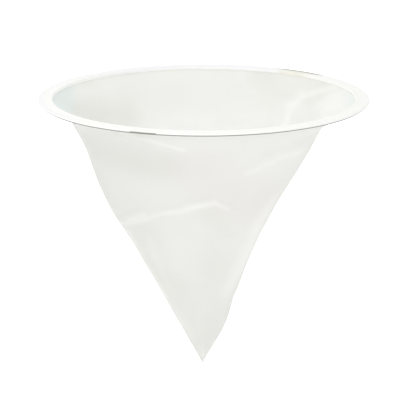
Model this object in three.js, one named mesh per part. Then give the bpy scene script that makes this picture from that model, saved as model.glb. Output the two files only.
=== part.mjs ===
// Nylon honey filter cone: a moulded plastic flange ring, and a cone of nylon filter cloth whose
// hem is welded into a seat under the ring. The ring hangs the cone in the mouth of a honey bucket.
// Millimetres and degrees, +Z up. The origin is the ring's centre, on the flat underside that rests
// on the bucket.
import * as THREE from "three";

const { clamp, degToRad, lerp, radToDeg, smoothstep } = THREE.MathUtils;

// Flange ring
const openingDiameter = 301;
const flangeWidth = 14.5;
const flangeThickness = 3;
const outerEdgeRadius = 1.4;
const innerEdgeRadius = 0.8;
const beadWidth = 3.4;
const beadRise = 0.5;
const beadSlopeWidth = 1.2;

// Weld seat: the shallow step under the flange that takes the hem of the cloth
const hemWidth = 4.4;
const hemClearance = 0.6;
const seatDepth = 0.7;

// Filter cloth: one sheet, cut as a sector, rolled to a cone and welded along a lap seam
const clothThickness = 0.4;
const clothBendRadius = 1.2;
const clothSetback = 0.2;
const coneDepth = 265;
const tipDrift = -1.2;
const seamWidth = 5;
const seamAngle = -4;
const seamStart = 4;
const seamFullAt = 9;
const seamWidest = 30;

// Where the slack cloth leaves the straight cone. Each pull acts round one direction, seen from above
// with 0 at +X, comes on from "starts" to "full" millimetres below the ring and dies out from "holds"
// to "ends". A positive push is outwards.
const pulls = [
  { angle: 0, halfAngle: 78, starts: 0, full: 24, holds: 148, ends: 240, push: -20 },
  { angle: 0, halfAngle: 60, starts: 60, full: 105, holds: 125, ends: 170, push: -3 },
  { angle: 180, halfAngle: 62, starts: 0, full: 22, holds: 30, ends: 105, push: -9.8 },
  { angle: 184, halfAngle: 50, starts: 95, full: 122, holds: 126, ends: 150, push: 1.2 },
  { angle: 180, halfAngle: 70, starts: 105, full: 145, holds: 165, ends: 220, push: -1.8 },
  { angle: -90, halfAngle: 82, starts: 4, full: 45, holds: 140, ends: 240, push: 7.5 },
  { angle: 90, halfAngle: 76, starts: 4, full: 45, holds: 140, ends: 240, push: 6.5 },
];

// Folds pressed into the cloth. Each runs through [angle, depth below the ring] points, and stands
// "height" proud of the wall, with flanks that die out over "reach".
const folds = [
  { route: [[-163, 120], [-85, 82], [-71, 96]], height: 4.5, reach: 30 },
  { route: [[29, 2], [40, 16], [45, 42], [44, 62]], height: 5, reach: 24 },
  { route: [[-24, 41], [-50, 42], [-66, 53]], height: 2.6, reach: 20 },
  { route: [[-114, 15], [-100, 24]], height: 1.6, reach: 16 },
];
const foldFreeDepth = 8;

// Fineness of the faceted surfaces
const ringSteps = 96;
const edgeSteps = 3;
const clothSteps = 72;
const clothRows = 22;
const rowCrowding = 1.3;

// Sizes that follow from the ones above
const openingRadius = openingDiameter / 2;
const outerRadius = openingRadius + flangeWidth;
const halfCloth = clothThickness / 2;
const bendCentreRadius = openingRadius + clothSetback + halfCloth + clothBendRadius;
const hemOuterRadius = bendCentreRadius + hemWidth;
const seatRadius = hemOuterRadius + hemClearance;
const hemTop = seatDepth;
const hemBottom = hemTop - clothThickness;
const bendCentre = new THREE.Vector2(bendCentreRadius, hemTop - halfCloth - clothBendRadius);
const tip = new THREE.Vector2(0, -coneDepth);
const coneHalfAngle = halfAngleFromTip();
const wallAngle = Math.PI - coneHalfAngle;
const columnStep = 360 / clothSteps;

// Half the angle of the cone whose wall runs tangent to the bend at the hem
function halfAngleFromTip() {
  const reach = bendCentre.clone().sub(tip);
  return Math.atan2(reach.x, reach.y) - Math.asin(clothBendRadius / reach.length());
}

// Radius of the straight cone at a depth below the ring
function coneRadius(depth) {
  return Math.max(0, (coneDepth - depth) * Math.tan(coneHalfAngle));
}

// Turns a profile of (radius, height) points round the Z axis, with a column of points at "from"
function revolve(points, steps, from) {
  const start = degToRad(from + 90);
  return new THREE.LatheGeometry(points, steps, start).rotateX(Math.PI / 2);
}

// Section of the flange: rounded outer edge, flat top, raised bead round the opening, and the weld
// seat stepped into the underside
function ringProfile() {
  const edgeCentre = outerRadius - outerEdgeRadius;
  const beadTop = flangeThickness + beadRise;
  const beadFoot = openingRadius + beadWidth;
  const lipCentre = openingRadius + innerEdgeRadius;
  const quarter = Math.PI / 2;
  const section = new THREE.Path();
  section.moveTo(openingRadius, seatDepth);
  section.lineTo(seatRadius, seatDepth);
  section.lineTo(seatRadius, 0);
  section.lineTo(edgeCentre, 0);
  section.absarc(edgeCentre, outerEdgeRadius, outerEdgeRadius, -quarter, 0, false);
  section.absarc(edgeCentre, flangeThickness - outerEdgeRadius, outerEdgeRadius, 0, quarter, false);
  section.lineTo(beadFoot, flangeThickness);
  section.lineTo(beadFoot - beadSlopeWidth, beadTop);
  section.lineTo(lipCentre, beadTop);
  section.absarc(lipCentre, beadTop - innerEdgeRadius, innerEdgeRadius, quarter, 2 * quarter, false);
  section.lineTo(openingRadius, seatDepth);
  return withoutRepeats(section.getPoints(edgeSteps));
}

// Section of the cloth: along its outer face from the tip to the hem, round the hem's cut edge, and
// back along its inner face to the tip
function clothProfile() {
  const tipOffset = halfCloth / Math.sin(coneHalfAngle);
  const outerTip = new THREE.Vector2(0, tip.y - tipOffset);
  const innerTip = new THREE.Vector2(0, tip.y + tipOffset);
  const outerBend = clothBendRadius - halfCloth;
  const innerBend = clothBendRadius + halfCloth;
  const outerFace = wallRows(outerTip, pointOnBend(outerBend));
  const innerFace = wallRows(innerTip, pointOnBend(innerBend)).reverse();
  const hem = new THREE.Path();
  hem.absarc(bendCentre.x, bendCentre.y, outerBend, wallAngle, Math.PI / 2, true);
  hem.lineTo(hemOuterRadius, hemBottom);
  hem.lineTo(hemOuterRadius, hemTop);
  hem.absarc(bendCentre.x, bendCentre.y, innerBend, Math.PI / 2, wallAngle, false);
  return withoutRepeats([...outerFace, ...hem.getPoints(edgeSteps), ...innerFace]);
}

function pointOnBend(radius) {
  return new THREE.Vector2(
    bendCentre.x + radius * Math.cos(wallAngle),
    bendCentre.y + radius * Math.sin(wallAngle));
}

// Points up one face of the wall, closer together under the hem, where the cloth turns most
function wallRows(from, to) {
  return Array.from({ length: clothRows + 1 }, (_, row) => {
    const share = 1 - (1 - row / clothRows) ** rowCrowding;
    return from.clone().lerp(to, share);
  });
}

// Drops points that neighbouring runs share
function withoutRepeats(points) {
  const smallest = 1e-6;
  return points.filter((point, i) => i === 0 || point.distanceTo(points[i - 1]) > smallest);
}

// Turn from one direction to another, between -180 and 180
function turnBetween(from, to) {
  return ((((to - from) % 360) + 540) % 360) - 180;
}

// How strongly a pull acts at a direction and depth, from 0 to 1
function pullShare(pull, angle, depth) {
  const aside = Math.min(1, Math.abs(turnBetween(angle, pull.angle)) / pull.halfAngle);
  const sideways = (1 + Math.cos(Math.PI * aside)) / 2;
  const comesOn = smoothstep(depth, pull.starts, pull.full);
  const diesOut = 1 - smoothstep(depth, pull.holds, pull.ends);
  return sideways * comesOn * diesOut;
}

// How strongly a fold acts at a direction and depth: 1 on its route, 0 beyond its reach
function foldShare(fold, angle, depth) {
  const route = fold.route.map(([turn, below]) => new THREE.Vector2(
    degToRad(turnBetween(angle, turn)) * coneRadius(depth),
    (below - depth) / Math.cos(coneHalfAngle)));
  const distances = route.slice(1).map((end, i) => distanceToOrigin(route[i], end));
  const nearness = Math.max(0, 1 - Math.min(...distances) / fold.reach);
  return nearness * nearness;
}

function distanceToOrigin(start, end) {
  const along = end.clone().sub(start);
  const share = clamp(-start.dot(along) / along.lengthSq(), 0, 1);
  return start.clone().addScaledVector(along, share).length();
}

// How far the slack cloth stands outside the straight cone
function slackAt(angle, depth) {
  const pulled = pulls.reduce((sum, pull) => sum + pull.push * pullShare(pull, angle, depth), 0);
  const folded = folds.reduce((sum, fold) => sum + fold.height * foldShare(fold, angle, depth), 0);
  return pulled + folded * smoothstep(depth, 0, foldFreeDepth);
}

// Moves an evenly spaced direction so that the seam's lap lies between two columns of points at
// every depth, with its step in thickness between these and their neighbours
function columnAngle(evenAngle, radius) {
  const aside = turnBetween(seamAngle, evenAngle);
  const away = Math.abs(aside);
  const lap = Math.min(seamWidest, radToDeg(seamWidth / 2 / radius));
  const foot = Math.min(seamWidest + columnStep, lap + radToDeg(clothThickness / radius));
  const neighbour = columnStep * 1.5;
  const share = (away - neighbour) / (180 - neighbour);
  const moved = away < columnStep ? lap : lerp(foot, 180, share);
  return seamAngle + Math.sign(aside) * moved;
}

// Thickness that the lap of the seam adds on the outer face
function lapThickness(evenAngle, depth) {
  const onLap = Math.abs(turnBetween(seamAngle, evenAngle)) < columnStep;
  return onLap ? clothThickness * smoothstep(depth, seamStart, seamFullAt) : 0;
}

// Moves the wall's points from the straight cone to the draped one
function drape(geometry, pointsInProfile) {
  const positions = geometry.getAttribute("position");
  for (let i = 0; i < positions.count; i += 1) {
    const depth = -positions.getZ(i);
    const radius = Math.hypot(positions.getX(i), positions.getY(i));
    const onWall = depth > seamStart / 2 && radius > clothThickness;
    if (onWall) {
      const evenAngle = radToDeg(Math.atan2(positions.getY(i), positions.getX(i)));
      const angle = columnAngle(evenAngle, radius);
      const onOuterFace = i % pointsInProfile <= clothRows;
      const lap = onOuterFace ? lapThickness(evenAngle, depth) : 0;
      const draped = radius + slackAt(angle, depth) + lap;
      positions.setX(i, draped * Math.cos(degToRad(angle)));
      positions.setY(i, draped * Math.sin(degToRad(angle)));
    }
    const drift = tipDrift * smoothstep(depth, 0, coneDepth);
    positions.setX(i, positions.getX(i) + drift);
  }
  geometry.computeVertexNormals();
  return geometry;
}

function flangeRing() {
  const plastic = new THREE.MeshStandardMaterial({ color: 0xf7f8f4, roughness: 0.42, metalness: 0 });
  const ring = new THREE.Mesh(revolve(ringProfile(), ringSteps, 0), plastic);
  ring.name = "flange_ring";
  return ring;
}

function filterCloth() {
  const nylon = new THREE.MeshStandardMaterial({ color: 0xeff0ea, roughness: 0.6, metalness: 0 });
  const profile = clothProfile();
  const wall = revolve(profile, clothSteps, seamAngle + columnStep / 2);
  const cloth = new THREE.Mesh(drape(wall, profile.length), nylon);
  cloth.name = "filter_cloth";
  return cloth;
}

const filterCone = new THREE.Group();
filterCone.add(flangeRing(), filterCloth());

export default filterCone;
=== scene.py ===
# Nylon honey filter cone: a white moulded flange ring with a slack cone of filter cloth welded under it.
import math

import bpy
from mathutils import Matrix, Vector, noise


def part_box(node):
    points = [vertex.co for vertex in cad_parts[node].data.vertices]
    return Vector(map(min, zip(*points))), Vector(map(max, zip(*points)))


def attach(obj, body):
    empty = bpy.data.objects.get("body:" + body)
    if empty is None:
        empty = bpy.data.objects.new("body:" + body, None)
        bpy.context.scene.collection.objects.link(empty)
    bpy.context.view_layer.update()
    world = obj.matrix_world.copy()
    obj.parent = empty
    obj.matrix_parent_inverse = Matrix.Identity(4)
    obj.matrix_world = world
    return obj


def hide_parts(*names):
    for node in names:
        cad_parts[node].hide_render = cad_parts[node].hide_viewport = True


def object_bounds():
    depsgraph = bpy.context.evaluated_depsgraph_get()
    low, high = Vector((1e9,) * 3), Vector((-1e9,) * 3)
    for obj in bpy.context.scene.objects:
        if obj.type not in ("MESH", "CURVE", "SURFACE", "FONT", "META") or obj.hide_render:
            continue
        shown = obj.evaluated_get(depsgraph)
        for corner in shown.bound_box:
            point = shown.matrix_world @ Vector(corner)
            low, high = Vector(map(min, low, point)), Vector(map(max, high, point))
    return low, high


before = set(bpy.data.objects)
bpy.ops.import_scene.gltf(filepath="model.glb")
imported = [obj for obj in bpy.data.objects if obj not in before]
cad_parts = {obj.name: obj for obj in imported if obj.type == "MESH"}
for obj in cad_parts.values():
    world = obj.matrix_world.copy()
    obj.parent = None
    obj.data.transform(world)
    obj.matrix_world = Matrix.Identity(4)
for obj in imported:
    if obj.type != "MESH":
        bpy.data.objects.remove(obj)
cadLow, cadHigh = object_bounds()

scene = bpy.context.scene
scene.view_settings.view_transform = "Standard"


# Shared helpers

def deselectAll():
    for thing in bpy.context.selected_objects:
        thing.select_set(False)


def makeActive(thing):
    deselectAll()
    thing.select_set(True)
    bpy.context.view_layer.objects.active = thing


def smoothStep(value, low, high):
    share = min(1, max(0, (value - low) / (high - low)))
    return share * share * (3 - 2 * share)


def turnBetween(fromAngle, toAngle):
    # degrees, between -180 and 180
    return (toAngle - fromAngle + 540) % 360 - 180


# Shared helpers for materials: places are where a node stands in the editor

def addNode(tree, kind, place, **values):
    node = tree.nodes.new(kind)
    node.location = place
    for name, value in values.items():
        setattr(node, name, value)
    return node


def mathNode(tree, operation, place, first, second=None, third=None):
    # each input is a socket to link or a plain number
    node = addNode(tree, "ShaderNodeMath", place, operation=operation)
    for i, source in enumerate((first, second, third)):
        if isinstance(source, (int, float)):
            node.inputs[i].default_value = source
        elif source is not None:
            tree.links.new(source, node.inputs[i])
    return node.outputs[0]


def vectorNode(tree, operation, place, first, second):
    node = addNode(tree, "ShaderNodeVectorMath", place, operation=operation)
    tree.links.new(first, node.inputs[0])
    tree.links.new(second, node.inputs[1])
    return node.outputs["Value"] if operation in ("DOT_PRODUCT", "DISTANCE") else node.outputs[0]


def mixColours(tree, place, share, first, second):
    # each colour is a socket to link or three plain numbers
    node = addNode(tree, "ShaderNodeMix", place, data_type="RGBA")
    tree.links.new(share, node.inputs[0])
    for socket, source in ((node.inputs[6], first), (node.inputs[7], second)):
        if isinstance(source, bpy.types.NodeSocket):
            tree.links.new(source, socket)
        else:
            socket.default_value = (*source, 1)
    return node.outputs[2]


def mixShaders(tree, place, share, first, second):
    node = addNode(tree, "ShaderNodeMixShader", place)
    if isinstance(share, float):
        node.inputs[0].default_value = share
    else:
        tree.links.new(share, node.inputs[0])
    tree.links.new(first, node.inputs[1])
    tree.links.new(second, node.inputs[2])
    return node.outputs[0]


def noiseNode(tree, place, points, scale, detail=2):
    node = addNode(tree, "ShaderNodeTexNoise", place)
    tree.links.new(points, node.inputs["Vector"])
    node.inputs["Scale"].default_value = scale
    node.inputs["Detail"].default_value = detail
    return node.outputs[0]


def bumpNode(tree, place, height, strength, depth):
    node = addNode(tree, "ShaderNodeBump", place)
    node.inputs["Strength"].default_value = strength
    node.inputs["Distance"].default_value = depth
    tree.links.new(height, node.inputs["Height"])
    return node.outputs[0]


def splitPlace(tree, place, source):
    node = addNode(tree, "ShaderNodeSeparateXYZ", place)
    tree.links.new(source, node.inputs[0])
    return node.outputs


def rangeMask(tree, place, value, zeroAt, oneAt):
    # a smooth change from 0 to 1, either way along the value
    node = addNode(tree, "ShaderNodeMapRange", place, interpolation_type="SMOOTHSTEP")
    tree.links.new(value, node.inputs["Value"])
    falls = oneAt < zeroAt
    node.inputs["From Min"].default_value = min(zeroAt, oneAt)
    node.inputs["From Max"].default_value = max(zeroAt, oneAt)
    node.inputs["To Min"].default_value = 1 if falls else 0
    node.inputs["To Max"].default_value = 0 if falls else 1
    return node.outputs[0]


def turnMask(tree, place, angle, fromAngle, toAngle, fade):
    # 1 between two directions round the axis, in degrees
    across, down = place
    rise = addNode(tree, "ShaderNodeMapRange", place, interpolation_type="SMOOTHSTEP")
    fall = addNode(tree, "ShaderNodeMapRange", (across, down - 260), interpolation_type="SMOOTHSTEP")
    for node, edge, sign in ((rise, fromAngle, 1), (fall, toAngle, -1)):
        tree.links.new(angle, node.inputs["Value"])
        node.inputs["From Min"].default_value = math.radians(edge - sign * fade)
        node.inputs["From Max"].default_value = math.radians(edge + sign * fade)
    return mathNode(tree, "MULTIPLY", (across + 200, down), rise.outputs[0], fall.outputs[0])


def seenMask(tree, place):
    # 1 for what is seen itself, mirrored in gloss or seen through something clear
    across, down = place
    path = addNode(tree, "ShaderNodeLightPath", place).outputs
    seen = mathNode(tree, "MAXIMUM", (across + 250, down), path["Is Camera Ray"], path["Is Glossy Ray"])
    return mathNode(tree, "MAXIMUM", (across + 450, down), seen, path["Is Transmission Ray"])


def newMaterial(name):
    material = bpy.data.materials.new(name)
    material.use_nodes = True
    material.node_tree.nodes.clear()
    shader = addNode(material.node_tree, "ShaderNodeBsdfPrincipled", (500, 0))
    return material, material.node_tree, shader


def showSurface(tree, place, surface):
    output = addNode(tree, "ShaderNodeOutputMaterial", place)
    tree.links.new(surface, output.inputs[0])


# Camera: a long lens, a little above the ring

cameraView = {
    "distance": 8.0,         # metres, far enough that the ring's back and front keep one scale
    "elevation": 12.9,       # degrees above the ring
    "aim": (-0.0037, 0, -0.1008),
    "frameWidth": 0.3989,    # metres across the picture at the aim point
    "reach": 60,             # metres to the farthest thing in sight
}


def makeCamera():
    camera = bpy.data.objects.new("camera", bpy.data.cameras.new("camera"))
    scene.collection.objects.link(camera)
    tilt = math.radians(cameraView["elevation"])
    back = Vector((0, -math.cos(tilt), math.sin(tilt)))
    camera.location = Vector(cameraView["aim"]) + back * cameraView["distance"]
    camera.rotation_euler = back.to_track_quat("Z", "Y").to_euler()
    camera.data.lens = camera.data.sensor_width * cameraView["distance"] / cameraView["frameWidth"]
    camera.data.clip_end = cameraView["reach"]
    scene.camera = camera


makeCamera()
print("camera set")


# Flange ring: the moulding's section is cut from a plane, its corners are rounded, and it is spun round +Z

ring = {
    "outerRadius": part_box("flange_ring")[1][0],
    "thickness": 0.003,
    "flangeWidth": 0.0145,
    "beadWidth": 0.0034,
    "beadRise": 0.0005,
    "beadSlope": 0.0012,
    "seatWidth": 0.0066,     # the step underneath that takes the hem
    "seatDepth": 0.0007,
    "seatStep": 0.00004,
    "outerEdge": 0.0014,     # radius of the rounded rim
    "outerFacets": 7,
    "innerEdge": 0.0008,
    "innerFacets": 5,
    "slopeEdge": 0.0005,
    "slopeFacets": 3,
    "sides": 256,
    "sharpAngle": 35,        # degrees, past which an edge is shaded sharp
    "slip": 0.00001,         # how far a corner may lie from its worked-out place
    "mergeWithin": 0.000005,
}
ring["openingRadius"] = ring["outerRadius"] - ring["flangeWidth"]


def selectVertices(mesh, test):
    bpy.ops.mesh.select_all(action="DESELECT")
    bpy.ops.object.mode_set(mode="OBJECT")
    for vertex in mesh.vertices:
        vertex.select = test(vertex.co)
    bpy.ops.object.mode_set(mode="EDIT")


def splitSection(x):
    bpy.ops.mesh.select_all(action="SELECT")
    bpy.ops.mesh.bisect(plane_co=(x, 0, 0), plane_no=(1, 0, 0))


def roundCorner(mesh, x, z, radius, facets):
    slip = ring["slip"]
    selectVertices(mesh, lambda place: abs(place.x - x) < slip and abs(place.z - z) < slip)
    bpy.ops.mesh.bevel(
        offset=radius, offset_type="OFFSET", segments=facets, profile=0.5, affect="VERTICES")


def makeRing():
    deselectAll()
    bpy.ops.mesh.primitive_plane_add(size=1, location=(0, 0, 0))
    piece = bpy.context.active_object
    piece.name = "flangeRing"
    mesh = piece.data
    inner, outer, top = ring["openingRadius"], ring["outerRadius"], ring["thickness"]
    beadTop = top + ring["beadRise"]
    beadEnd = inner + ring["beadWidth"]
    crownEnd = beadEnd - ring["beadSlope"]
    seatEnd = inner + ring["seatWidth"]

    # the section's rectangle, standing in the XZ plane
    bpy.ops.object.mode_set(mode="EDIT")
    bpy.ops.mesh.select_mode(type="VERT")
    bpy.ops.mesh.select_all(action="SELECT")
    bpy.ops.transform.resize(value=(ring["flangeWidth"], top, 1))
    bpy.ops.transform.rotate(value=math.pi / 2, orient_axis="X", center_override=(0, 0, 0))
    bpy.ops.transform.translate(value=((inner + outer) / 2, 0, top / 2))

    # bead on top, seat for the hem underneath
    for x in (crownEnd, beadEnd, seatEnd, seatEnd + ring["seatStep"]):
        splitSection(x)
    selectVertices(mesh, lambda place: place.z > top / 2 and place.x < crownEnd + ring["slip"])
    bpy.ops.transform.translate(value=(0, 0, ring["beadRise"]))
    selectVertices(mesh, lambda place: place.z < top / 2 and place.x < seatEnd + ring["slip"])
    bpy.ops.transform.translate(value=(0, 0, ring["seatDepth"]))
    bpy.ops.mesh.select_all(action="SELECT")
    bpy.ops.mesh.dissolve_faces()

    # rounded corners, then one turn round the axis
    roundCorner(mesh, outer, 0, ring["outerEdge"], ring["outerFacets"])
    roundCorner(mesh, outer, top, ring["outerEdge"], ring["outerFacets"])
    roundCorner(mesh, inner, beadTop, ring["innerEdge"], ring["innerFacets"])
    roundCorner(mesh, crownEnd, beadTop, ring["slopeEdge"], ring["slopeFacets"])
    roundCorner(mesh, beadEnd, top, ring["slopeEdge"], ring["slopeFacets"])
    bpy.ops.mesh.select_all(action="SELECT")
    bpy.ops.mesh.delete(type="ONLY_FACE")
    bpy.ops.mesh.select_all(action="SELECT")
    bpy.ops.mesh.spin(steps=ring["sides"], angle=math.tau, center=(0, 0, 0), axis=(0, 0, 1))
    bpy.ops.mesh.select_all(action="SELECT")
    bpy.ops.mesh.remove_doubles(threshold=ring["mergeWithin"])
    bpy.ops.mesh.normals_make_consistent(inside=False)
    bpy.ops.object.mode_set(mode="OBJECT")
    bpy.ops.object.shade_smooth_by_angle(angle=math.radians(ring["sharpAngle"]))
    return piece


flangeRing = makeRing()
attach(flangeRing, "root")
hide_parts("flange_ring")
print("ring made:", len(flangeRing.data.polygons), "faces")


# Filter cloth: a sheet cut as a sector, rolled to a cone, with a hem turned out under the ring

cloth = {
    "thickness": 0.0004,
    "coneDepth": 0.2675,
    "bendRadius": 0.0012,
    "setback": 0.0002,
    "hemWidth": 0.0044,
    "tipDrift": -0.0012,
    "seamAngle": -4.0,       # degrees from +X
    "seamWidth": 0.005,
    "seamStart": 0.004,
    "seamWidest": 30.0,      # degrees, near the tip
    "columns": 360,
    "rows": 116,
    "hemRows": 2,
    "bendRows": 3,
    "slackStart": 0.002,     # depth above which the cloth follows the ring exactly
    "foldsFull": 0.008,      # depth from which the folds have their whole height
    "dentDepth": 0.0009,     # of the soft random dents
    "dentsComeOn": (0.004, 0.03),
    "dentsDieOut": (0.22, 0.262),
    "broadDents": 17,        # dents to a metre, about
    "broadShift": (4.2, 1.3, 7.1),
    "smallDents": 41,
    "smallShift": (0.7, 9.4, 2.8),
    "smallShare": 0.35,
}

# Where the slack cloth leaves the straight cone: direction and half its spread in degrees, depths in
# metres between which it comes on and dies out, and how far it pushes outwards
pulls = [
    {"angle": 0, "spread": 78, "comesOn": (0, 0.019), "diesOut": (0.148, 0.240), "push": -0.020},
    {"angle": 0, "spread": 60, "comesOn": (0.060, 0.105), "diesOut": (0.125, 0.170), "push": -0.003},
    {"angle": 180, "spread": 62, "comesOn": (0, 0.015), "diesOut": (0.028, 0.105), "push": -0.0096},
    {"angle": 184, "spread": 50, "comesOn": (0.095, 0.122), "diesOut": (0.126, 0.150), "push": 0.0012},
    {"angle": 184, "spread": 50, "comesOn": (0.045, 0.078), "diesOut": (0.108, 0.135), "push": 0.0012},
    {"angle": 180, "spread": 70, "comesOn": (0.105, 0.145), "diesOut": (0.165, 0.220), "push": -0.0006},
    {"angle": -90, "spread": 82, "comesOn": (0.004, 0.045), "diesOut": (0.140, 0.240), "push": 0.0075},
    {"angle": 90, "spread": 76, "comesOn": (0.004, 0.045), "diesOut": (0.140, 0.240), "push": 0.0065},
]

# Pressed folds: the route in (degrees, depth) points, the ridge's height, the direction on the wall
# (round, down) in which the long flank lies, and how far the long and the short flank reach
folds = [
    {"route": [(-152, 0.112), (-113, 0.0915), (-85, 0.076), (-73, 0.089)],
     "height": 0.0042, "side": (0, -1), "long": 0.032, "short": 0.015},
    {"route": [(30, 0.002), (45, 0.0165), (49, 0.0245), (49, 0.062)],
     "height": 0.0036, "side": (-1, 0), "long": 0.026, "short": 0.014},
    {"route": [(-70, 0.044), (-63, 0.036), (-58, 0.0315), (-37, 0.030)],
     "height": 0.0026, "side": (0, -1), "long": 0.020, "short": 0.012},
    {"route": [(-125, 0.007), (-111, 0.009), (-99, 0.017)],
     "height": 0.0030, "side": (0, 1), "long": 0.034, "short": 0.010},
    {"route": [(-56, 0.125), (-44, 0.150), (-32, 0.188)],
     "height": 0.0018, "side": (1, 0), "long": 0.024, "short": 0.016},
]

bendCentreRadius = ring["openingRadius"] + cloth["setback"] + cloth["thickness"] / 2 + cloth["bendRadius"]
hemHeight = ring["seatDepth"] - cloth["thickness"] / 2
bendCentreHeight = hemHeight - cloth["bendRadius"]
coneHalfAngle = math.atan2(bendCentreRadius, cloth["coneDepth"] + bendCentreHeight) - math.asin(
    cloth["bendRadius"] / math.hypot(bendCentreRadius, cloth["coneDepth"] + bendCentreHeight))
columnStep = 360 / cloth["columns"]


def coneRadius(depth):
    return max(0, (cloth["coneDepth"] - depth) * math.tan(coneHalfAngle))


def pullShare(pull, angle, depth):
    aside = min(1, abs(turnBetween(angle, pull["angle"])) / pull["spread"])
    sideways = (1 + math.cos(math.pi * aside)) / 2
    return sideways * smoothStep(depth, *pull["comesOn"]) * (1 - smoothStep(depth, *pull["diesOut"]))


def nearestOnLine(start, end):
    # the point of a line that lies nearest the origin
    along = end - start
    share = min(1, max(0, -start.dot(along) / along.length_squared))
    return start + along * share


def foldShare(fold, angle, depth):
    # 1 on the ridge, falling to 0 over the reach of the flank on that side
    radius = coneRadius(depth)
    slant = 1 / math.cos(coneHalfAngle)
    firstTurn = fold["route"][0][0]
    begin = turnBetween(angle, firstTurn)
    points = [
        Vector((math.radians(begin + turn - firstTurn) * radius, (depth - below) * slant))
        for turn, below in fold["route"]]
    onEachLine = [nearestOnLine(start, end) for start, end in zip(points, points[1:])]
    nearest = min(onEachLine, key=lambda place: place.length)
    facing = (1 - nearest.normalized().dot(Vector(fold["side"]))) / 2
    reach = fold["short"] + (fold["long"] - fold["short"]) * facing
    return max(0, 1 - nearest.length / reach) ** 2


def softDents(angle, depth):
    # random dents that run on round the cone and leave out its rim and its tip
    radius = coneRadius(depth)
    turn = math.radians(angle)
    place = Vector((radius * math.cos(turn), radius * math.sin(turn), -depth))
    broad = noise.noise(place * cloth["broadDents"] + Vector(cloth["broadShift"]))
    small = noise.noise(place * cloth["smallDents"] + Vector(cloth["smallShift"]))
    fade = smoothStep(depth, *cloth["dentsComeOn"]) * (1 - smoothStep(depth, *cloth["dentsDieOut"]))
    return (broad + small * cloth["smallShare"]) * cloth["dentDepth"] * fade


def slackAt(angle, depth):
    pulled = sum(pull["push"] * pullShare(pull, angle, depth) for pull in pulls)
    folded = sum(fold["height"] * foldShare(fold, angle, depth) for fold in folds)
    return pulled + folded * smoothStep(depth, 0, cloth["foldsFull"]) + softDents(angle, depth)


def flatPlace(angle, depth):
    # a point of the wall on the flat cut, with the tip at the origin
    slant = (cloth["coneDepth"] - depth) / math.cos(coneHalfAngle)
    turn = math.radians(turnBetween(cloth["seamAngle"], angle)) * math.sin(coneHalfAngle)
    return slant * math.cos(turn), slant * math.sin(turn)


def clothProfile():
    # radius and height of each row, from the hem's cut edge to just above the tip
    points = []
    for i in range(cloth["hemRows"]):
        points.append((bendCentreRadius + cloth["hemWidth"] * (1 - i / cloth["hemRows"]), hemHeight))
    wallAngle = math.pi - coneHalfAngle
    for i in range(cloth["bendRows"] + 1):
        turn = math.pi / 2 + (wallAngle - math.pi / 2) * i / cloth["bendRows"]
        points.append((
            bendCentreRadius + cloth["bendRadius"] * math.cos(turn),
            bendCentreHeight + cloth["bendRadius"] * math.sin(turn)))
    topRadius, topHeight = points[-1]
    for i in range(1, cloth["rows"]):
        share = i / cloth["rows"]
        points.append((topRadius * (1 - share), topHeight + (-cloth["coneDepth"] - topHeight) * share))
    return points


def columnAngle(column, radius):
    # the columns beside the seam follow the edges of its lap
    aside = (column + 0.5) * columnStep
    aside = aside if aside < 180 else aside - 360
    away = abs(aside)
    lap = min(cloth["seamWidest"], math.degrees(cloth["seamWidth"] / 2 / radius))
    foot = min(cloth["seamWidest"] + columnStep, lap + math.degrees(cloth["thickness"] / radius))
    if away < columnStep:
        moved = lap
    else:
        share = (away - columnStep * 1.5) / (180 - columnStep * 1.5)
        moved = foot + (180 - foot) * share
    return cloth["seamAngle"] + math.copysign(moved, aside)


def clothPoints(profile):
    # each point's place in the drape and on the flat cut, and how far it belongs to the seam's lap
    places, flat, laps = [], [], []
    for radius, height in profile:
        depth = -height
        drift = cloth["tipDrift"] * smoothStep(depth, 0, cloth["coneDepth"])
        straightDepth = cloth["coneDepth"] - radius / math.tan(coneHalfAngle)
        for column in range(cloth["columns"]):
            angle = columnAngle(column, radius)
            onLap = column in (0, cloth["columns"] - 1)
            lap = smoothStep(depth, cloth["seamStart"], cloth["seamStart"] * 2) if onLap else 0
            draped = radius
            if depth > cloth["slackStart"]:
                draped += slackAt(angle, depth) + lap * cloth["thickness"] / 2
            turn = math.radians(angle)
            places.append((draped * math.cos(turn) + drift, draped * math.sin(turn), height))
            flat.append(flatPlace(angle, straightDepth))
            laps.append(lap)
    places.append((cloth["tipDrift"], 0, -cloth["coneDepth"]))
    flat.append((0.0, 0.0))
    laps.append(0)
    return places, flat, laps


def clothFaces(rows):
    columns = cloth["columns"]
    faces = []
    for row in range(rows - 1):
        top, bottom = row * columns, (row + 1) * columns
        for column in range(columns):
            right = (column + 1) % columns
            faces.append((top + column, bottom + column, bottom + right, top + right))
    last, tip = (rows - 1) * columns, rows * columns
    faces += [(last + column, tip, last + (column + 1) % columns) for column in range(columns)]
    return faces


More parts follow.
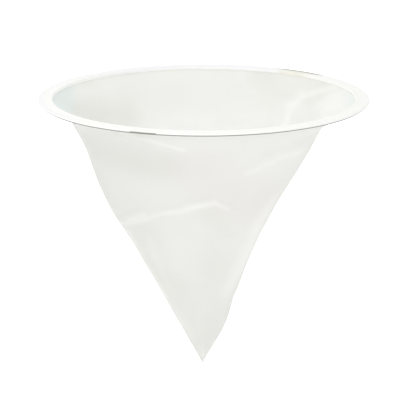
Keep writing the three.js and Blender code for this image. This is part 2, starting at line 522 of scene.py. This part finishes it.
def makeCloth():
    profile = clothProfile()
    places, flat, laps = clothPoints(profile)
    mesh = bpy.data.meshes.new("filterCloth")
    mesh.from_pydata(places, [], clothFaces(len(profile)))
    layer = mesh.uv_layers.new(name="flatCloth")
    for loop in mesh.loops:
        layer.data[loop.index].uv = flat[loop.vertex_index]
    piece = bpy.data.objects.new("filterCloth", mesh)
    scene.collection.objects.link(piece)
    makeActive(piece)
    bpy.ops.object.mode_set(mode="EDIT")
    bpy.ops.mesh.select_all(action="SELECT")
    bpy.ops.mesh.normals_make_consistent(inside=False)
    bpy.ops.object.mode_set(mode="OBJECT")
    bpy.ops.object.shade_smooth()

    # the lap of the seam is twice as thick as the rest
    lapGroup = piece.vertex_groups.new(name="lap")
    for i, lap in enumerate(laps):
        lapGroup.add([i], 0.5 + lap / 2, "REPLACE")
    wall = piece.modifiers.new("wall", "SOLIDIFY")
    wall.thickness = cloth["thickness"] * 2
    wall.vertex_group = lapGroup.name
    wall.offset = 0
    bpy.ops.object.modifier_apply(modifier=wall.name)
    return piece


filterCloth = makeCloth()
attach(filterCloth, "root")
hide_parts("filter_cloth")
print("cloth made:", len(filterCloth.data.polygons), "faces")


# Ring plastic: white, satin, with painted shade on its rim, its edges and its back, and a duller cream
# tint at the back right

plastic = {
    "colour": (0.992, 0.995, 0.965),
    "creamColour": (0.84, 0.83, 0.70),
    "greyColour": (0.34, 0.335, 0.27),
    # painted shadow of a gap under the rim
    "gapShadowColour": (0.26, 0.255, 0.22),
    # painted shade on the rim's lower edge
    "rimShadeColour": (0.16, 0.16, 0.15),
    # painted cool shade at the flange's left end and at its back
    "coolShadeColour": (0.945, 0.945, 0.955),
    "roughness": 0.38,
    "ior": 1.49,
    "cloudScale": 18,
    "cloudDetail": 3,
    "cloudShare": 0.05,
    "cloudRoughness": 0.16,  # how much the roughness varies
    "grainScale": 900,
    "grainStrength": 0.08,
    "grainDepth": 0.0002,
}

# Painted shade and a cream tint on the ring: distances from the axis, heights and places across in metres,
# each from where a mark is absent to where it is full, and stretches round the ring as two directions and
# the fading of their ends in degrees
ringMarks = {
    "gapShadow": {"radius": (0.1635, 0.1645), "height": (0.0026, 0.0016), "turn": (-116.0, -106.4, 0.5)},
    # painted shade along the rim's lower edge, most of it at the front
    "rimShade": {"radius": (0.1630, 0.1640), "height": (0.0017, 0.0009), "front": (-158.0, -18.0, 14.0),
             "frontShare": 0.80, "allRound": 0.12},
    "cream": {"turn": (47.0, 60.0, 3.5), "share": 0.65},
    "grey": {"radius": (0.1575, 0.1605), "turn": (43.0, 61.0, 3.0), "share": 0.75},
    "coolShade": {"radius": (0.1590, 0.1615), "left": (-0.115, -0.150), "back": (0.090, 0.135)},
}


def gapShadowMark(tree, radius, height, angle):
    # painted shadow of a gap between the rim's lower edge and the cloth, at the front left
    values = ringMarks["gapShadow"]
    onRim = rangeMask(tree, (-1000, 500), radius, *values["radius"])
    low = rangeMask(tree, (-1000, 250), height, *values["height"])
    along = turnMask(tree, (-1000, 1000), angle, *values["turn"])
    mark = mathNode(tree, "MULTIPLY", (-800, 600), onRim, low)
    return mathNode(tree, "MULTIPLY", (-600, 700), mark, along)


def rimUnderShade(tree, radius, height, angle):
    # painted shade on the rim's lower edge, most of it at the front
    values = ringMarks["rimShade"]
    onRim = rangeMask(tree, (-1000, 2000), radius, *values["radius"])
    low = rangeMask(tree, (-1000, 1750), height, *values["height"])
    front = turnMask(tree, (-1000, 1500), angle, *values["front"])
    share = mathNode(tree, "MULTIPLY_ADD", (-700, 1500), front, values["frontShare"], values["allRound"])
    rimShade = mathNode(tree, "MULTIPLY", (-750, 1900), onRim, low)
    return mathNode(tree, "MULTIPLY", (-600, 1800), rimShade, share)


def creamPlace(tree, angle):
    # a duller cream tint, at the back right
    values = ringMarks["cream"]
    along = turnMask(tree, (-1000, 0), angle, *values["turn"])
    return mathNode(tree, "MULTIPLY", (-600, 0), along, values["share"])


def backEdgeShade(tree, radius, angle):
    # painted shade on the flange's outer edge, at the back right
    values = ringMarks["grey"]
    outside = rangeMask(tree, (-1000, -600), radius, *values["radius"])
    along = turnMask(tree, (-1000, -900), angle, *values["turn"])
    grey = mathNode(tree, "MULTIPLY", (-700, -600), outside, along)
    return mathNode(tree, "MULTIPLY", (-600, -600), grey, values["share"])


def coolShadePlaces(tree, radius, x, y):
    # painted cool shade on the outer part of the flange at its left end, and on all of it at the back
    values = ringMarks["coolShade"]
    left = rangeMask(tree, (-600, -1300), x, *values["left"])
    outside = rangeMask(tree, (-600, -1550), radius, *values["radius"])
    back = rangeMask(tree, (-600, -1800), y, *values["back"])
    leftOutside = mathNode(tree, "MULTIPLY", (-400, -1400), left, outside)
    return mathNode(tree, "MAXIMUM", (-250, -1500), leftOutside, back)


def plasticMaterial():
    material, tree, shader = newMaterial("ringPlastic")
    place = addNode(tree, "ShaderNodeTexCoord", (-1900, 0)).outputs["Object"]
    x, y, z = splitPlace(tree, (-1700, 0), place)
    angle = mathNode(tree, "ARCTAN2", (-1500, 200), y, x)
    xSquared = mathNode(tree, "MULTIPLY", (-1650, -200), x, x)
    ySquared = mathNode(tree, "MULTIPLY", (-1650, -350), y, y)
    squared = mathNode(tree, "ADD", (-1500, -200), xSquared, ySquared)
    radius = mathNode(tree, "SQRT", (-1300, -200), squared)

    # faint cloudiness of the moulding, with the painted shade and the cream tint over it
    cloud = noiseNode(tree, (-600, -1000), place, plastic["cloudScale"], plastic["cloudDetail"])
    clouded = mathNode(tree, "MULTIPLY", (-400, -1000), cloud, plastic["cloudShare"])
    colour = mixColours(tree, (-200, 300), clouded, plastic["colour"], plastic["greyColour"])
    layers = (
        (coolShadePlaces(tree, radius, x, y), "coolShadeColour"),
        (creamPlace(tree, angle), "creamColour"),
        (backEdgeShade(tree, radius, angle), "greyColour"),
        (rimUnderShade(tree, radius, z, angle), "rimShadeColour"),
        (gapShadowMark(tree, radius, z, angle), "gapShadowColour"))
    for i, (mask, name) in enumerate(layers):
        colour = mixColours(tree, (-100 + 100 * i, 300), mask, colour, plastic[name])
    tree.links.new(colour, shader.inputs["Base Color"])

    # satin surface with a fine grain
    grain = noiseNode(tree, (-200, -500), place, plastic["grainScale"])
    normal = bumpNode(tree, (200, -500), grain, plastic["grainStrength"], plastic["grainDepth"])
    tree.links.new(normal, shader.inputs["Normal"])
    variation = plastic["cloudRoughness"]
    rough = mathNode(
        tree, "MULTIPLY_ADD", (0, -200), cloud, variation, plastic["roughness"] - variation / 2)
    tree.links.new(rough, shader.inputs["Roughness"])
    shader.inputs["IOR"].default_value = plastic["ior"]
    showSurface(tree, (900, 0), shader.outputs[0])
    return material


# Nylon cloth: a fine plain weave that lets light through, with painted light along its creases, painted
# shade in dull places and a painted cool shade beside the ring's ends

nylon = {
    "colour": (0.909, 0.911, 0.896),
    "gapColour": (0.855, 0.86, 0.828),
    "gapShare": 0.5,
    "pitch": 0.0007,         # metres from thread to thread
    "gapEdge": (0.62, 0.36),         # height in the weave at which a gap starts and is full
    "weaveStrength": 0.22,
    "weaveDepth": 0.00008,
    "open": 0.10,            # share of light that passes straight through a single wall
    "translucency": 0.50,
    "roughness": 0.62,
    "threadPolish": 0.1,     # how much smoother the tops of the threads are
    "ior": 1.45,
    "specular": 0.3,
    "blotches": 0.45,
    "blotchScale": 9,
    "blotchEdge": (0.35, 0.70),
    "unevenScale": 28,       # the marks vary in strength along their routes
    "unevenLeast": 0.6,
    "unevenRange": 0.7,
    # painted light on the creases and pale places, painted shade in the dull places
    "paintedLightColour": (0.995, 0.995, 0.985),
    "paintedShadeColour": (0.80, 0.80, 0.765),
    "warmColour": (0.880, 0.860, 0.846),
    # painted cool shade beside the ring's ends
    "coolShadeColour": (0.800, 0.856, 0.850),
    "coolShare": 0.6,
    "leftTint": (-0.123, -0.137),    # metres from the axis, where the tint starts and is full
    "rightTint": (0.136, 0.147),
    "rightShare": 0.5,
}

# Marks in the cloth, as routes of (degrees, depth) points: painted light along the creases and in broad
# pale places, painted shade in dull places and down the left side, and one patch is warmer
clothMarks = [
    # across the front, rising to the right
    {"route": [(-163, 0.117), (-113, 0.0915), (-85, 0.076)], "width": 0.0054, "paintedLight": 0.46},
    {"route": [(-140, 0.107), (-124, 0.0965)], "width": 0.0080, "paintedLight": 0.42},
    {"route": [(-98, 0.0830), (-85, 0.0765)], "width": 0.0065, "paintedLight": 0.50},
    {"route": [(-85, 0.076), (-78, 0.0835)], "width": 0.0045, "paintedLight": 0.32},
    # high on the front, at the left and at the right
    {"route": [(-122, 0.005), (-111, 0.009)], "width": 0.0040, "paintedLight": 0.18},
    {"route": [(-111, 0.009), (-98, 0.0175)], "width": 0.0040, "paintedLight": 0.40},
    {"route": [(-71, 0.045), (-63, 0.036)], "width": 0.0060, "paintedLight": 0.24},
    {"route": [(-63, 0.036), (-58, 0.0315), (-36, 0.029)], "width": 0.0085, "paintedLight": 0.32},
    # on the back wall, down from the ring at the right
    {"route": [(29, 0.0), (45, 0.0165), (49, 0.0245), (49, 0.050)], "width": 0.0070, "paintedLight": 0.30},
    {"route": [(45, 0.0165), (49, 0.0260)], "width": 0.0130, "paintedLight": 0.38},
    # broad pale places, painted light
    {"route": [(-129, 0.126), (-134, 0.185)], "width": 0.014, "paintedLight": 0.20},
    {"route": [(-26, 0.118), (-20, 0.190)], "width": 0.016, "paintedLight": 0.45},
    {"route": [(-112, 0.112), (-106, 0.160)], "width": 0.026, "paintedLight": 0.16},
    {"route": [(-46, 0.088), (-52, 0.110), (-54, 0.150), (-58, 0.182)], "width": 0.019, "paintedLight": 0.44},
    {"route": [(-154, 0.132), (-150, 0.232)], "width": 0.020, "paintedLight": 0.42},
    # painted shade on the front
    {"route": [(-146, 0.033), (-104, 0.036)], "width": 0.028, "paintedShade": 0.28},
    {"route": [(-88, 0.090), (-76, 0.116)], "width": 0.017, "paintedShade": 0.18},
    {"route": [(-83, 0.116), (-80, 0.150)], "width": 0.022, "paintedShade": 0.12},
    {"route": [(-72, 0.194), (-74, 0.236)], "width": 0.012, "paintedShade": 0.10},
    # painted shade on the back wall
    {"route": [(82, 0.048), (58, 0.044)], "width": 0.016, "paintedShade": 0.20},
    {"route": [(170, 0.008), (158, 0.022), (128, 0.040)], "width": 0.042, "paintedShade": 0.46},
    {"route": [(140, 0.018), (90, 0.018), (36, 0.018)], "width": 0.060, "paintedShade": 0.17},
    {"route": [(68, 0.005), (34, 0.010)], "width": 0.026, "paintedShade": 0.52},
    # painted shade along the cloth's left edge
    {"route": [(-165, 0.009), (-172, 0.060), (-173, 0.122)], "width": 0.0120, "paintedShade": 0.80},
    # a warmer patch at the front, right of the middle
    {"route": [(-92, 0.042), (-56, 0.086)], "width": 0.055, "warm": 0.50},
]


def lineMaskGroup():
    # puts out 1 on a line of the flat cut, falling to 0 at the width beside it
    group = bpy.data.node_groups.new("lineMask", "ShaderNodeTree")
    for name in ("Place", "From", "To"):
        group.interface.new_socket(name, in_out="INPUT", socket_type="NodeSocketVector")
    group.interface.new_socket("Width", in_out="INPUT", socket_type="NodeSocketFloat")
    group.interface.new_socket("Mask", in_out="OUTPUT", socket_type="NodeSocketFloat")
    given = addNode(group, "NodeGroupInput", (-1200, 0)).outputs
    end = addNode(group, "NodeGroupOutput", (900, 0))
    along = vectorNode(group, "SUBTRACT", (-1000, 200), given["To"], given["From"])
    reached = vectorNode(group, "SUBTRACT", (-1000, -200), given["Place"], given["From"])
    dot = vectorNode(group, "DOT_PRODUCT", (-800, -200), reached, along)
    length = vectorNode(group, "DOT_PRODUCT", (-800, 200), along, along)
    share = mathNode(group, "DIVIDE", (-600, 0), dot, length)
    share = mathNode(group, "MAXIMUM", (-430, 0), share, 0)
    share = mathNode(group, "MINIMUM", (-250, 0), share, 1)
    nearest = addNode(group, "ShaderNodeVectorMath", (-50, 0), operation="SCALE")
    group.links.new(along, nearest.inputs[0])
    group.links.new(share, nearest.inputs["Scale"])
    away = vectorNode(group, "DISTANCE", (150, 0), reached, nearest.outputs[0])
    fade = addNode(group, "ShaderNodeMapRange", (500, 0), interpolation_type="SMOOTHSTEP")
    group.links.new(away, fade.inputs["Value"])
    group.links.new(given["Width"], fade.inputs["From Max"])
    fade.inputs["To Min"].default_value = 1
    fade.inputs["To Max"].default_value = 0
    group.links.new(fade.outputs[0], end.inputs["Mask"])
    return group


def markMask(tree, place, flatUv, kind, group):
    # the strongest of all marks of a kind: painted light, painted shade or warm
    across, down = place
    strongest = None
    for i, mark in enumerate([mark for mark in clothMarks if kind in mark]):
        row = down - 260 * i
        for j, (start, end) in enumerate(zip(mark["route"], mark["route"][1:])):
            line = addNode(tree, "ShaderNodeGroup", (across + 200 * j, row), node_tree=group)
            tree.links.new(flatUv, line.inputs["Place"])
            line.inputs["From"].default_value = (*flatPlace(*start), 0)
            line.inputs["To"].default_value = (*flatPlace(*end), 0)
            line.inputs["Width"].default_value = mark["width"]
            mask = mathNode(tree, "MULTIPLY", (across + 700, row), line.outputs[0], mark[kind])
            if strongest is not None:
                mask = mathNode(tree, "MAXIMUM", (across + 900, row), strongest, mask)
            strongest = mask
    return strongest


def weaveGroup():
    # plain weave on the flat cut: puts out the height of the threads and a mask of the gaps
    group = bpy.data.node_groups.new("plainWeave", "ShaderNodeTree")
    group.interface.new_socket("Place", in_out="INPUT", socket_type="NodeSocketVector")
    group.interface.new_socket("Pitch", in_out="INPUT", socket_type="NodeSocketFloat")
    group.interface.new_socket("Height", in_out="OUTPUT", socket_type="NodeSocketFloat")
    group.interface.new_socket("Gap", in_out="OUTPUT", socket_type="NodeSocketFloat")
    given = addNode(group, "NodeGroupInput", (-1200, 0)).outputs
    end = addNode(group, "NodeGroupOutput", (800, 0))
    parts = splitPlace(group, (-1000, 0), given["Place"])
    waves = []
    for i, axis in enumerate(("X", "Y")):
        down = -300 * i
        turns = mathNode(group, "DIVIDE", (-800, down), parts[axis], given["Pitch"])
        phase = mathNode(group, "MULTIPLY", (-600, down), turns, math.pi)
        wave = mathNode(group, "SINE", (-400, down), phase)
        waves.append(mathNode(group, "ABSOLUTE", (-200, down), wave))
    height = mathNode(group, "MAXIMUM", (200, 0), *waves)
    gap = rangeMask(group, (450, -300), height, *nylon["gapEdge"])
    group.links.new(height, end.inputs["Height"])
    group.links.new(gap, end.inputs["Gap"])
    return group


def groundColour(tree, place, gap):
    # greyer between the threads and in broad blotches
    between = mathNode(tree, "MULTIPLY", (-600, 200), gap, nylon["gapShare"])
    colour = mixColours(tree, (-300, 200), between, nylon["colour"], nylon["gapColour"])
    cloud = noiseNode(tree, (-900, -400), place, nylon["blotchScale"])
    blotched = rangeMask(tree, (-600, -400), cloud, *nylon["blotchEdge"])
    blotched = mathNode(tree, "MULTIPLY", (-400, -400), blotched, nylon["blotches"])
    return mixColours(tree, (-100, 200), blotched, colour, nylon["gapColour"])


def markedColour(tree, place, flatUv, colour):
    # the painted light and shade are broken up a little, so that they aren't ruled lines
    group = lineMaskGroup()
    breakUp = noiseNode(tree, (-900, 1500), place, nylon["unevenScale"])
    uneven = mathNode(
        tree, "MULTIPLY_ADD", (-700, 1500), breakUp, nylon["unevenRange"], nylon["unevenLeast"])
    warm = markMask(tree, (-2400, -1500), flatUv, "warm", group)
    paintedShade = markMask(tree, (-2400, 1800), flatUv, "paintedShade", group)
    paintedShade = mathNode(tree, "MULTIPLY", (-200, 1500), paintedShade, uneven)
    paintedLight = markMask(tree, (-2400, 400), flatUv, "paintedLight", group)
    paintedLight = mathNode(tree, "MULTIPLY", (-200, 900), paintedLight, uneven)
    colour = mixColours(tree, (-50, 200), warm, colour, nylon["warmColour"])
    colour = mixColours(tree, (50, 200), paintedShade, colour, nylon["paintedShadeColour"])
    return mixColours(tree, (200, 200), paintedLight, colour, nylon["paintedLightColour"])


def coolShadeEnds(tree, place):
    # painted cool shade on the cloth beside the ring's left and right ends
    across = splitPlace(tree, (-600, -700), place)["X"]
    left = rangeMask(tree, (-400, -700), across, *nylon["leftTint"])
    right = rangeMask(tree, (-400, -950), across, *nylon["rightTint"])
    right = mathNode(tree, "MULTIPLY", (-300, -950), right, nylon["rightShare"])
    coolShade = mathNode(tree, "MAXIMUM", (-200, -800), left, right)
    return mathNode(tree, "MULTIPLY", (-100, -700), coolShade, nylon["coolShare"])


def nylonMaterial():
    material, tree, shader = newMaterial("nylonCloth")
    flatUv = addNode(tree, "ShaderNodeUVMap", (-1200, 0), uv_map="flatCloth").outputs[0]
    place = addNode(tree, "ShaderNodeTexCoord", (-1200, -400)).outputs["Object"]
    weave = addNode(tree, "ShaderNodeGroup", (-900, 0), node_tree=weaveGroup())
    tree.links.new(flatUv, weave.inputs["Place"])
    weave.inputs["Pitch"].default_value = nylon["pitch"]
    colour = groundColour(tree, place, weave.outputs["Gap"])
    colour = markedColour(tree, place, flatUv, colour)
    colour = mixColours(tree, (350, 200), coolShadeEnds(tree, place), colour, nylon["coolShadeColour"])
    tree.links.new(colour, shader.inputs["Base Color"])

    # threads that stand out, with smoother tops
    height, polish = weave.outputs["Height"], nylon["threadPolish"]
    rough = mathNode(tree, "MULTIPLY_ADD", (-300, -100), height, -polish, nylon["roughness"] + polish / 2)
    tree.links.new(rough, shader.inputs["Roughness"])
    normal = bumpNode(tree, (-100, -300), height, nylon["weaveStrength"], nylon["weaveDepth"])
    tree.links.new(normal, shader.inputs["Normal"])
    shader.inputs["IOR"].default_value = nylon["ior"]
    shader.inputs["Specular IOR Level"].default_value = nylon["specular"]

    # light shines through the cloth, and some passes straight through its gaps
    through = addNode(tree, "ShaderNodeBsdfTranslucent", (500, -500))
    tree.links.new(colour, through.inputs[0])
    clear = addNode(tree, "ShaderNodeBsdfTransparent", (500, -700))
    soft = mixShaders(tree, (750, -200), nylon["translucency"], shader.outputs[0], through.outputs[0])
    surface = mixShaders(tree, (1000, 0), nylon["open"], soft, clear.outputs[0])
    showSurface(tree, (1250, 0), surface)
    return material


flangeRing.data.materials.clear()
flangeRing.data.materials.append(plasticMaterial())
filterCloth.data.materials.append(nylonMaterial())
print("materials made")


# Floor, sky and lamps

studio = {
    "floorDrop": 0.24,       # metres below the tip
    "floorRadius": 9.0,
    "floorSides": 96,
    "floorColour": (0.88, 0.88, 0.87),
    "floorRoughness": 0.9,
    "floorSpecular": 0.1,
    "floorGlow": 0.62,       # lifts the paper to white where it is seen
    "skyLight": 0.86,
    "sideDimming": 0.08,
    "dimmingEdge": (0.1, 0.9),    # share of the way to the right, where the dimming starts and is full
    "lampAim": (0, 0, -0.08),
}

lamps = [
    {"name": "keyLamp", "place": (-1.35, -0.25, 1.65), "size": 1.1, "power": 6.5},
    {"name": "frontLamp", "place": (0.25, -2.4, 0.45), "size": 1.4, "power": 10.0},
]


def floorMaterial():
    material, tree, shader = newMaterial("floorPaper")
    shader.inputs["Base Color"].default_value = (*studio["floorColour"], 1)
    shader.inputs["Roughness"].default_value = studio["floorRoughness"]
    shader.inputs["Specular IOR Level"].default_value = studio["floorSpecular"]
    seen = seenMask(tree, (0, 500))
    glow = addNode(tree, "ShaderNodeEmission", (500, 250))
    strength = mathNode(tree, "MULTIPLY", (300, 250), seen, studio["floorGlow"])
    tree.links.new(strength, glow.inputs["Strength"])
    paper = addNode(tree, "ShaderNodeAddShader", (750, 0))
    tree.links.new(shader.outputs[0], paper.inputs[0])
    tree.links.new(glow.outputs[0], paper.inputs[1])

    # clear from below, so that the cone can be seen from there
    below = addNode(tree, "ShaderNodeNewGeometry", (600, 600)).outputs["Backfacing"]
    clear = addNode(tree, "ShaderNodeBsdfTransparent", (750, -200))
    surface = mixShaders(tree, (950, 200), below, paper.outputs[0], clear.outputs[0])
    showSurface(tree, (1200, 0), surface)
    return material


def makeFloor():
    deselectAll()
    height = cadLow[2] - studio["floorDrop"]
    bpy.ops.mesh.primitive_circle_add(
        vertices=studio["floorSides"], radius=studio["floorRadius"], fill_type="NGON",
        location=(0, 0, height))
    floor = bpy.context.active_object
    floor.name = "floor"
    floor.data.materials.append(floorMaterial())


def makeSky():
    # even light from all round, a little weaker from the right, and white where it is seen
    world = bpy.data.worlds.new("studio")
    scene.world = world
    world.use_nodes = True
    tree = world.node_tree
    tree.nodes.clear()
    output = addNode(tree, "ShaderNodeOutputWorld", (600, 0))
    sky = addNode(tree, "ShaderNodeBackground", (300, 0))
    sky.inputs["Color"].default_value = (1, 1, 1, 1)
    tree.links.new(sky.outputs[0], output.inputs[0])
    direction = addNode(tree, "ShaderNodeTexCoord", (-800, -200)).outputs["Generated"]
    toRight = splitPlace(tree, (-600, -200), direction)["X"]
    dimmed = rangeMask(tree, (-400, -500), toRight, *studio["dimmingEdge"])
    dimming = mathNode(tree, "MULTIPLY", (-200, -500), dimmed, studio["sideDimming"])
    light = mathNode(tree, "SUBTRACT", (-100, -300), studio["skyLight"], dimming)
    strength = mathNode(tree, "MAXIMUM", (0, 100), light, seenMask(tree, (-800, 400)))
    tree.links.new(strength, sky.inputs["Strength"])


def makeLamp(values):
    lamp = bpy.data.objects.new(values["name"], bpy.data.lights.new(values["name"], "AREA"))
    scene.collection.objects.link(lamp)
    lamp.data.shape = "DISK"
    lamp.data.size = values["size"]
    lamp.data.energy = values["power"]
    lamp.location = values["place"]
    back = Vector(values["place"]) - Vector(studio["lampAim"])
    lamp.rotation_euler = back.to_track_quat("Z", "Y").to_euler()
    lamp.visible_camera = False


makeFloor()
makeSky()
for values in lamps:
    makeLamp(values)
print("studio made")
